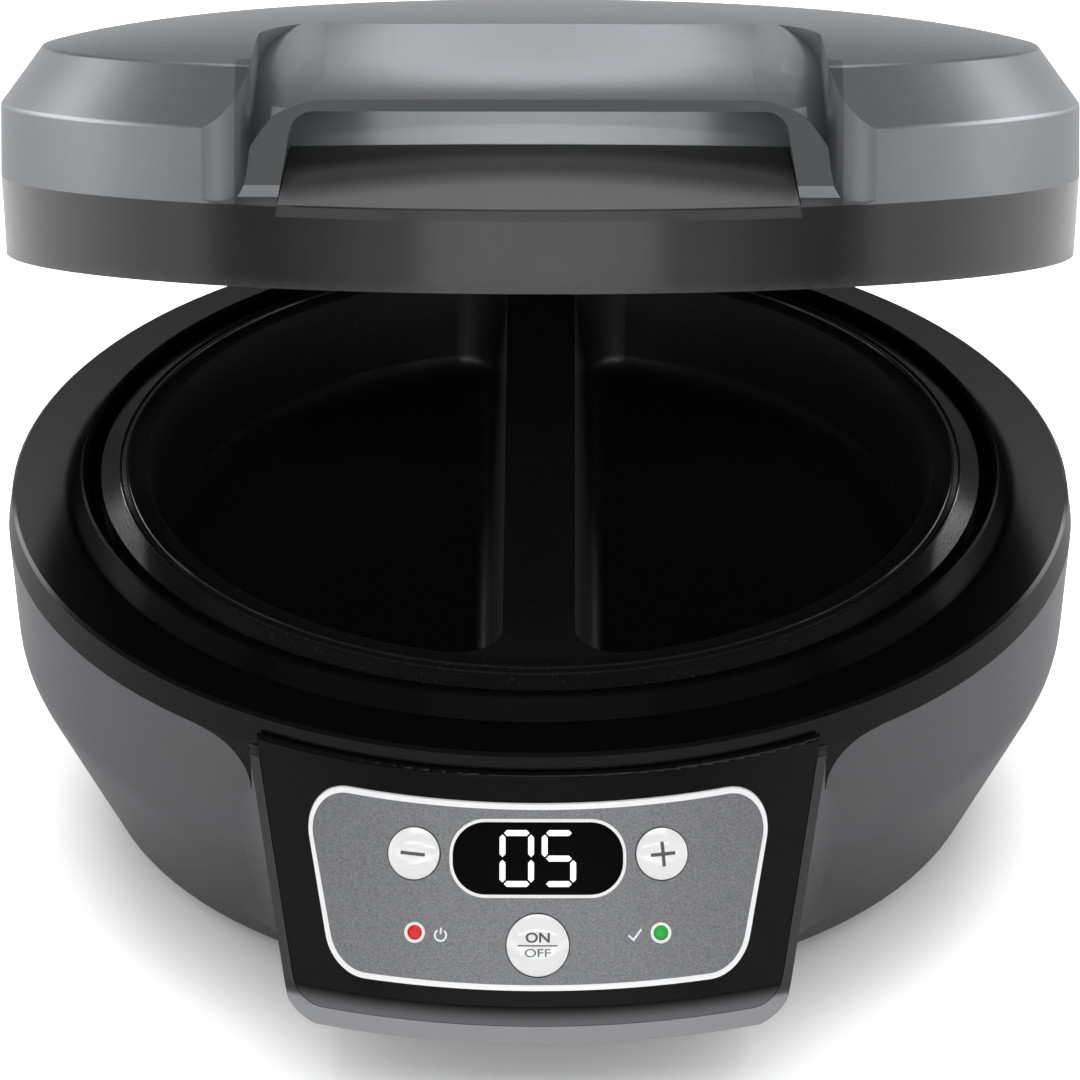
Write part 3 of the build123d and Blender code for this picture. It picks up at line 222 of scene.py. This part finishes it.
panel_black = Finish("panel black", Specular_IOR_Level=0.1)
# Painted reflection: the black panel is painted grey down its lower bevel, standing in for light it
# reflects.
bevel_painted_reflection = panel_black.z.ramp(*lower_bevel)
panel_black.set(Base_Color=panel_black.mix(bevel_painted_reflection, (0.004, 0.004, 0.0042), (0.15, 0.15, 0.155)))
panel_black.set(Roughness=0.16 + panel_black.noise(1.0 * mm) * 0.06)
panel_black.bump(panel_black.noise(0.35 * mm), 0.003 * mm)
paint(panel_black, "control_housing")
fascia_grey = Finish("fascia grey", Metallic=0.5, Roughness=0.42)
grain = fascia_grey.flakes(0.22 * mm)
fascia_grey.set(Base_Color=fascia_grey.tint((0.205, 0.207, 0.213), 0.72 + grain * 0.56))
fascia_grey.bump(fascia_grey.noise(0.3 * mm), 0.01 * mm)
paint(fascia_grey, "fascia_plate")
silver = Finish("silver line", Base_Color=(0.95, 0.95, 0.96), Metallic=0.15)
silver.set(Roughness=0.26 + silver.noise(1.0 * mm) * 0.1)
paint(silver, "fascia_trim")

# Display: a smoked window in a white rim, over two lit figures.
window_black = Finish("window black", Base_Color=(0.002, 0.002, 0.0022), Specular_IOR_Level=0.12)
window_black.set(Roughness=0.06 + window_black.noise(5 * mm) * 0.04)
paint(window_black, "display_window")
white_line = Finish("white line", Base_Color=(0.92, 0.92, 0.92))
white_line.set(Roughness=0.3 + white_line.noise(1.0 * mm) * 0.1)
paint(white_line, "display_rim", "led_bezels")
lit_figure = Finish("lit figure", Base_Color=(0.9, 0.9, 0.9), Roughness=0.4, Emission_Strength=0.6)
glow = 0.94 + lit_figure.noise(0.8 * mm) * 0.12
lit_figure.set(Emission_Color=lit_figure.tint((1.0, 1.0, 0.98), glow))
paint(lit_figure, "display_digits")

# Keys: polished pearl-white caps on black plungers.
pearl = Finish("key pearl", Roughness=0.16, Coat_Weight=0.6)
pearl.set(Base_Color=pearl.tint((0.93, 0.93, 0.935), 0.97 + pearl.noise(3 * mm) * 0.06))
paint(pearl, "minus_button", "plus_button", "start_button")
switch_black = Finish("switch black", Base_Color=(0.02, 0.02, 0.02), Roughness=0.5)
switch_black.bump(switch_black.noise(0.5 * mm), 0.01 * mm)
paint(switch_black, "minus_plunger", "plus_plunger", "start_plunger", "tact_switches",
      "display_module", "control_chips", "capacitor")


# Lamps: clear coloured lenses, lit from behind.
def lamp(name, colour, strength):
    made = Finish(name, Base_Color=colour, Roughness=0.2, Emission_Strength=strength)
    made.set(Emission_Color=made.tint(colour, 0.85 + made.noise(0.9 * mm) * 0.3))
    return made


paint(lamp("red lamp", (0.62, 0.006, 0.010), 0.25), "power_led")
paint(lamp("green lamp", (0.006, 0.36, 0.035), 0.2), "ready_led")


# Marks on the keys and beside the lamps: a thin printed layer laid on the piece that carries it.
# Signs are ribbons of even width. The start key's words are plain capitals over and under a rule.
def face_spot(x, drop):
    """Place on the console's face at x and a way down it, with its right, up and out directions."""
    around = face_top_radius + drop * sin(face_lean)
    place = Vector((x, -sqrt(around**2 - x**2), face_top_height - drop * cos(face_lean)))
    right = Vector((-place.y / around, x / around, 0))
    out = Vector((x / around * cos(face_lean), place.y / around * cos(face_lean), sin(face_lean)))
    return place, right, out.cross(right), out


def ribbon(shape, width, *points):
    """Flat ribbon of even width along a line of points in millimetres, with mitred corners."""
    line = [Vector((x, y, 0)) * mm for x, y in points]
    steps = [(after - before).normalized() for before, after in zip(line, line[1:])]
    rows = []
    for point, step, following in zip(line, steps[:1] + steps, steps + steps[-1:]):
        along = (step + following).normalized()
        side = Vector((-along.y, along.x, 0)) * width * mm / 2 / along.dot(step)
        rows.append((shape.verts.new(point + side), shape.verts.new(point - side)))
    for (left, right), (next_left, next_right) in zip(rows, rows[1:]):
        shape.faces.new((left, right, next_right, next_left))


def word(shape, letters, width, height, rise, weight):
    """Capitals of a width and height in millimetres, centred at a rise above the mark's middle."""
    curve = bpy.data.curves.new(letters, "FONT")
    curve.body = letters
    curve.offset = weight
    text = bpy.data.objects.new(letters, curve)
    mesh = bpy.data.meshes.new_from_object(text)
    bpy.data.objects.remove(text)
    bpy.data.curves.remove(curve)
    across = [vertex.co.x for vertex in mesh.vertices]
    upward = [vertex.co.y for vertex in mesh.vertices]
    left, breadth = min(across), max(across) - min(across)
    foot, tallness = min(upward), max(upward) - min(upward)
    for vertex in mesh.vertices:
        vertex.co.x = ((vertex.co.x - left) / breadth - 0.5) * width * mm
        vertex.co.y = ((vertex.co.y - foot) / tallness - 0.5) * height * mm + rise * mm
    shape.from_mesh(mesh)
    bpy.data.meshes.remove(mesh)


def lay_mark(name, shape, finish, node, body, x, drop):
    """Lays flat artwork on a CAD node, facing out from a spot on the console's face."""
    longest_edge, clearance, sunk, thickness = 0.5, 8, 0.03, 0.09       # millimetres
    carrier = BVHTree.FromObject(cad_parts[node], bpy.context.evaluated_depsgraph_get())
    place, right, up, out = face_spot(x, drop)
    long_edges = [edge for edge in shape.edges if edge.calc_length() > longest_edge * mm]
    bmesh.ops.subdivide_edges(shape, edges=long_edges, cuts=3)
    bmesh.ops.triangulate(shape, faces=shape.faces)
    for vertex in shape.verts:
        above = place + right * vertex.co.x + up * vertex.co.y + out * clearance * mm
        vertex.co = carrier.ray_cast(above, -out)[0] - out * sunk * mm
    raised = bmesh.ops.extrude_face_region(shape, geom=shape.faces[:])["geom"]
    new_corners = [part for part in raised if isinstance(part, bmesh.types.BMVert)]
    bmesh.ops.translate(shape, verts=new_corners, vec=out * thickness * mm)
    bmesh.ops.recalc_face_normals(shape, faces=shape.faces)
    mesh = bpy.data.meshes.new(name)
    shape.to_mesh(mesh)
    shape.free()
    mesh.materials.append(finish.material)
    mark = bpy.data.objects.new(name, mesh)
    bpy.context.scene.collection.objects.link(mark)
    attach(mark, body)


def ink(name, colour):
    made = Finish(name, Roughness=0.45)
    made.set(Base_Color=made.tint(colour, 0.9 + made.noise(0.6 * mm) * 0.2))
    return made


key_ink = ink("key ink", (0.085, 0.085, 0.09))
label_ink = ink("label ink", (0.95, 0.95, 0.96))

# Each spot is how far out from the middle, and how far down the face.
side_key_x, side_key_drop = 28.8 * mm, 19.6 * mm
start_key_drop = 39.4 * mm
lamp_sign_x, lamp_sign_drop = 22.6 * mm, 37.9 * mm

sign_arm, sign_stroke = 2.9, 0.8
stroke_side = sign_stroke / 2
minus_sign = bmesh.new()
ribbon(minus_sign, sign_stroke, (-sign_arm, 0), (0, 0), (sign_arm, 0))
lay_mark("minus_sign", minus_sign, key_ink, "minus_button", "minus_key", -side_key_x, side_key_drop)

plus_sign = bmesh.new()
ribbon(plus_sign, sign_stroke, (-sign_arm, 0), (0, 0), (sign_arm, 0))
ribbon(plus_sign, sign_stroke, (0, stroke_side), (0, sign_arm))
ribbon(plus_sign, sign_stroke, (0, -stroke_side), (0, -sign_arm))
lay_mark("plus_sign", plus_sign, key_ink, "plus_button", "plus_key", side_key_x, side_key_drop)

start_words = bmesh.new()
word(start_words, "ON", 5.6, 2.4, 1.9, 0.02)
ribbon(start_words, 0.3, (-4.6, 0), (0, 0), (4.6, 0))
word(start_words, "OFF", 6.0, 1.9, -1.7, 0)
lay_mark("start_words", start_words, key_ink, "start_button", "start_key", 0, start_key_drop)

# Power sign: a circle left open for some degrees on each side of its top, with a stroke in the gap.
circle_radius, circle_stroke, open_side, turn_step = 1.35, 0.42, 36, 24
power_sign = bmesh.new()
bend = [radians(90 + open_side + step * turn_step) for step in range(13)]
circle = [(circle_radius * cos(turn), circle_radius * sin(turn) - 0.1) for turn in bend]
ribbon(power_sign, circle_stroke, *circle)
ribbon(power_sign, circle_stroke, (0, 0.15), (0, 1.65))
lay_mark("power_sign", power_sign, label_ink, "fascia_plate", "base", -lamp_sign_x, lamp_sign_drop)

ready_sign = bmesh.new()
ribbon(ready_sign, 0.46, (-1.5, 0.05), (-0.45, -1.1), (1.6, 1.3))
lay_mark("ready_sign", ready_sign, label_ink, "fascia_plate", "base", lamp_sign_x, lamp_sign_drop)


# Steel, sheet and electrical pieces inside the base and lid.
steel = Finish("zinc steel", Base_Color=(0.45, 0.45, 0.46), Metallic=1.0)
steel.set(Roughness=0.28 + steel.noise(0.8 * mm) * 0.16)
paint(steel, "cover_screws", "ring_screws", "plate_screws", "board_screws", "power_board_screws",
      "hinge_screws", "housing_screws", "lid_screws", "upper_plate_screws",
      "upper_reflector_screws", "hinge_pin", "thermostat", "thermal_fuse", "upper_thermal_fuse")
sheet = Finish("reflector sheet", Base_Color=(0.62, 0.62, 0.63), Metallic=1.0)
sheet.set(Roughness=0.24 + sheet.noise(4 * mm) * 0.15)
paint(sheet, "lower_reflector", "upper_reflector")
sheath = Finish("heater sheath", Metallic=0.9, Roughness=0.45)
sheath.set(Base_Color=sheath.mix(sheath.noise(6 * mm), (0.16, 0.13, 0.11), (0.28, 0.25, 0.24)))
paint(sheath, "lower_heating_element", "upper_heating_element")
tinned = Finish("tinned brass", Base_Color=(0.55, 0.45, 0.22), Metallic=1.0)
tinned.set(Roughness=0.3 + tinned.noise(1.0 * mm) * 0.1)
paint(tinned, "heater_terminals", "upper_heater_terminals", "fuse_clip", "upper_fuse_clip")


def moulded(name, colour, roughness):
    made = Finish(name, Roughness=roughness)
    made.set(Base_Color=made.tint(colour, 0.92 + made.noise(3 * mm) * 0.14))
    return made


paint(moulded("ceramic", (0.62, 0.60, 0.55), 0.7), "heater_bushes", "upper_heater_bushes")
paint(moulded("solder mask", (0.012, 0.09, 0.03), 0.35), "control_board", "power_board")
paint(moulded("winding tape", (0.55, 0.42, 0.03), 0.5), "transformer")
paint(moulded("relay case", (0.02, 0.07, 0.30), 0.35), "relay")
paint(moulded("terminal grey", (0.25, 0.25, 0.25), 0.5), "terminal_block")
paint(moulded("silicone", (0.60, 0.59, 0.56), 0.55), "heater_leads")

# Lid: grey painted shell over a polished black band, whose deck runs under the lip as the floor for
# the fingers. The lip's front carries painted shade, and the wall of the recess behind it painted
# light.
lid_open = radians(23.5)
hinge_y, hinge_z = 144 * mm, 96.7 * mm
hinge_above_lid = 4.1 * mm


def lid_frame(finish):
    """How far back and how high above the lid's lower edge a point is when the lid is shut."""
    beyond, above = finish.y - hinge_y, finish.z - hinge_z
    back = beyond * cos(lid_open) - above * sin(lid_open) + hinge_y
    height = beyond * sin(lid_open) + above * cos(lid_open) + hinge_above_lid
    return back, height


# The lip's front is the plane through its top edge that faces out along a unit vector.
lip_forward, lip_top = 97 * mm, 42.4 * mm
lip_out_y, lip_out_z = -0.9554, 0.2955
lip_skin, lip_side = (-0.5 * mm, -0.2 * mm), (70.5 * mm, 70.1 * mm)
recess_top, recess_side = (40.6 * mm, 40.2 * mm), (62.5 * mm, 62.0 * mm)
recess_front, recess_back = (-97 * mm, -95 * mm), (-60 * mm, -62 * mm)

lid_paint = grey_paint("lid paint", (0.168, 0.176, 0.184))
lid_y, lid_z = lid_frame(lid_paint)
# Painted shade: the lip's front and the legs below it are painted dark.
in_front = (lid_y + lip_forward) * lip_out_y + (lid_z - lip_top) * lip_out_z
lip_front_painted_shade = in_front.ramp(*lip_skin) * lid_paint.x.size().ramp(*lip_side)
# Painted light: the wall of the recess under the lip is painted much lighter than the rest of the
# lid.
recess_painted_light = lid_z.ramp(*recess_top) * lid_y.ramp(*recess_front) * lid_y.ramp(*recess_back)
recess_painted_light = recess_painted_light * lid_paint.x.size().ramp(*recess_side)
lid_with_painted_shade = lid_paint.mix(lip_front_painted_shade, lid_paint.colour, (0.105, 0.107, 0.111))
lid_paint.set(Base_Color=lid_paint.mix(recess_painted_light, lid_with_painted_shade, (0.40, 0.41, 0.42)))
paint(lid_paint, "lid_shell")

deck_edge = 130.2 * mm, 129.6 * mm

band_gloss = Finish("band gloss")
band_y, _ = lid_frame(band_gloss)
deck = radius(band_gloss.x, band_y).ramp(*deck_edge)
band_gloss.set(Base_Color=band_gloss.mix(deck, (0.010, 0.010, 0.011), (0.060, 0.060, 0.062)))
band_gloss.set(Roughness=0.20 + band_gloss.noise(9 * mm) * 0.05 + deck * 0.22)
band_gloss.bump(band_gloss.noise(7 * mm), 0.01 * mm)
paint(band_gloss, "lid_band")


# Stage: a white floor, soft lamps, and a long lens in front that looks down on the cooking plate.
def floor_sheet():
    """Floor that glows white for the camera only, with a painted shadow darkening it near the
    object.
    """
    mesh = bpy.data.meshes.new("floor")
    shape = bmesh.new()
    bmesh.ops.create_grid(shape, x_segments=1, y_segments=1, size=6.0)
    shape.to_mesh(mesh)
    shape.free()
    floor = bpy.data.objects.new("floor", mesh)
    bpy.context.scene.collection.objects.link(floor)
    shadow_reach, shadow_depth = 45 * mm, 1.5
    white = Finish("floor white", Base_Color=(0.9, 0.9, 0.9), Roughness=0.9, Emission_Strength=1.0)
    seen = white.node("ShaderNodeLightPath", {}, {}, "Is Camera Ray")
    open_sky = white.node("ShaderNodeAmbientOcclusion", {}, {"Distance": shadow_reach}, "AO")
    white.set(Emission_Color=white.tint((1.0, 1.0, 1.0), seen * open_sky.power(shadow_depth)))
    mesh.materials.append(white.material)


floor_sheet()

# White surroundings, as bright as the floor for the camera and dim for the object.
sky_light, sky_seen = 0.12, 1.0
world = bpy.data.worlds.new("studio")
bpy.context.scene.world = world
world.use_nodes = True
sky = world.node_tree.nodes["Background"]
rays = world.node_tree.nodes.new("ShaderNodeLightPath")
level = world.node_tree.nodes.new("ShaderNodeMix")
level.inputs["A"].default_value = sky_light
level.inputs["B"].default_value = sky_seen
world.node_tree.links.new(rays.outputs["Is Camera Ray"], level.inputs["Factor"])
world.node_tree.links.new(level.outputs["Result"], sky.inputs["Strength"])
sky.inputs["Color"].default_value = (1.0, 1.0, 1.0, 1.0)

plate_centre = Vector((0, 0, 98.3 * mm))


def towards(azimuth, elevation):
    """Direction from the plate, in radians. Azimuth 0 is in front of the console."""
    across = cos(elevation)
    return Vector((sin(azimuth) * across, -cos(azimuth) * across, sin(elevation)))


def lamp_panel(name, azimuth, elevation, distance, width, height, watts):
    """Soft rectangular lamp aimed at the cooking plate, at angles in degrees."""
    data = bpy.data.lights.new(name, "AREA")
    data.shape = "RECTANGLE"
    data.size = width
    data.size_y = height
    data.energy = watts
    holder = bpy.data.objects.new(name, data)
    out = towards(radians(azimuth), radians(elevation))
    holder.location = plate_centre + out * distance
    holder.rotation_euler = out.to_track_quat("Z", "Y").to_euler()
    bpy.context.scene.collection.objects.link(holder)


# Azimuth and elevation in degrees; distance, width and height in metres; watts.
lamp_panel("top lamp", 0, 84, 1.5, 1.4, 0.7, 11)
lamp_panel("back lamp", 180, 42, 2.0, 2.0, 0.8, 22)
lamp_panel("front lamp", 0, 16, 2.3, 2.2, 0.5, 10)
lamp_panel("edge strip", 0, 41, 2.6, 3.0, 0.09, 11)
side_lamps = (
    ("quarter", 46, 16, 2.2, 1.3, 0.5, 3),
    ("fill", 84, 9, 1.8, 0.9, 0.7, 3),
    ("lamp", 120, 6, 1.6, 1.1, 0.6, 15),
)
for kind, azimuth, *others in side_lamps:
    lamp_panel("left " + kind, -azimuth, *others)
    lamp_panel("right " + kind, azimuth, *others)

lens_distance, lens_azimuth, lens_elevation = 2.0, radians(0.2), radians(29.35)
sensor_width = 36
picture_side, pixels_per_metre = 1080, 4062
centre_row = 457.2                      # row of the picture that shows the plate's centre
camera_data = bpy.data.cameras.new("camera")
camera_data.sensor_width = sensor_width
camera_data.lens = sensor_width * pixels_per_metre * lens_distance / picture_side
camera_data.shift_y = -(picture_side / 2 - centre_row) / picture_side
camera = bpy.data.objects.new("camera", camera_data)
back = towards(lens_azimuth, lens_elevation)
camera.location = plate_centre + back * lens_distance
camera.rotation_euler = back.to_track_quat("Z", "Y").to_euler()
bpy.context.scene.collection.objects.link(camera)
bpy.context.scene.camera = camera
bpy.context.scene.view_settings.view_transform = "Standard"
